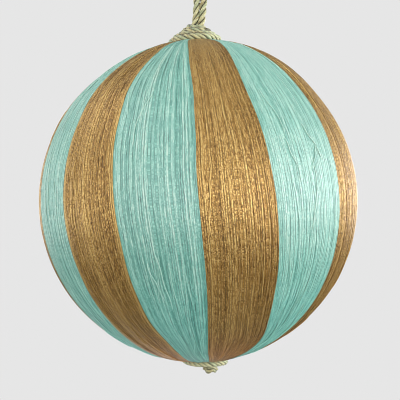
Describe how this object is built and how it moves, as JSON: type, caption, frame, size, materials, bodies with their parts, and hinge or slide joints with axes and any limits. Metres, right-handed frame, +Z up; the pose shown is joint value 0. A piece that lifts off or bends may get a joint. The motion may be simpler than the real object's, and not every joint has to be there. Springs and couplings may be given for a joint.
{
  "type": "thread-wound ball ornament",
  "caption": "Round ball ornament wound pole to pole with alternating mint and gold thread bands, with coiled cord rosettes, an end knot and a hanging cord loop.",
  "frame": {"origin": "underside of the hanging loop's top, where a hook bears", "axes": "+Z up along the ball's bore axis, -Y towards the front, +X to the right"},
  "size_m": [0.0996, 0.0995, 0.1723],
  "materials": {
    "mint_thread": "matte",
    "gold_thread": "satin",
    "twisted_cord": "matte",
    "core_shell": "matte",
    "bore_tube": "matte"
  },
  "bodies": {
    "loop": {"loop_head": "twisted_cord"},
    "link": {"cord_link": "twisted_cord"},
    "upper_cord": {"cord_upper": "twisted_cord"},
    "lower_cord": {"cord_lower": "twisted_cord"},
    "ball": {"mint_band_1": "mint_thread", "gold_band_1": "gold_thread", "mint_band_2": "mint_thread", "gold_band_2": "gold_thread", "mint_band_3": "mint_thread", "gold_band_3": "gold_thread", "mint_band_4": "mint_thread", "gold_band_4": "gold_thread", "mint_band_5": "mint_thread", "gold_band_5": "gold_thread", "mint_band_6": "mint_thread", "gold_band_6": "gold_thread", "mint_band_7": "mint_thread", "gold_band_7": "gold_thread", "cord_inner": "twisted_cord", "rosette_top_coil": "twisted_cord", "rosette_bottom_coil": "twisted_cord", "end_knot": "twisted_cord", "core_upper_shell": "core_shell", "core_lower_shell": "core_shell", "bore_tube": "bore_tube"}
  },
  "joints": [
    {"name": "swing_side", "type": "hinge", "parent": "loop", "child": "link", "pos_m": [0, 0, -0.016], "axis": [0, 1, 0], "range_deg": [-45, 45]},
    {"name": "swing_front", "type": "hinge", "parent": "link", "child": "upper_cord", "pos_m": [0, 0, -0.024], "axis": [1, 0, 0], "range_deg": [-45, 45]},
    {"name": "cord_twist", "type": "hinge", "parent": "upper_cord", "child": "lower_cord", "pos_m": [0.0007, 0, -0.03], "axis": [0, 0, 1], "range_deg": [-180, 180]},
    {"name": "neck_bend", "type": "hinge", "parent": "lower_cord", "child": "ball", "pos_m": [0.0012, 0, -0.0565], "axis": [1, 0, 0], "range_deg": [-75, 75]}
  ]
}
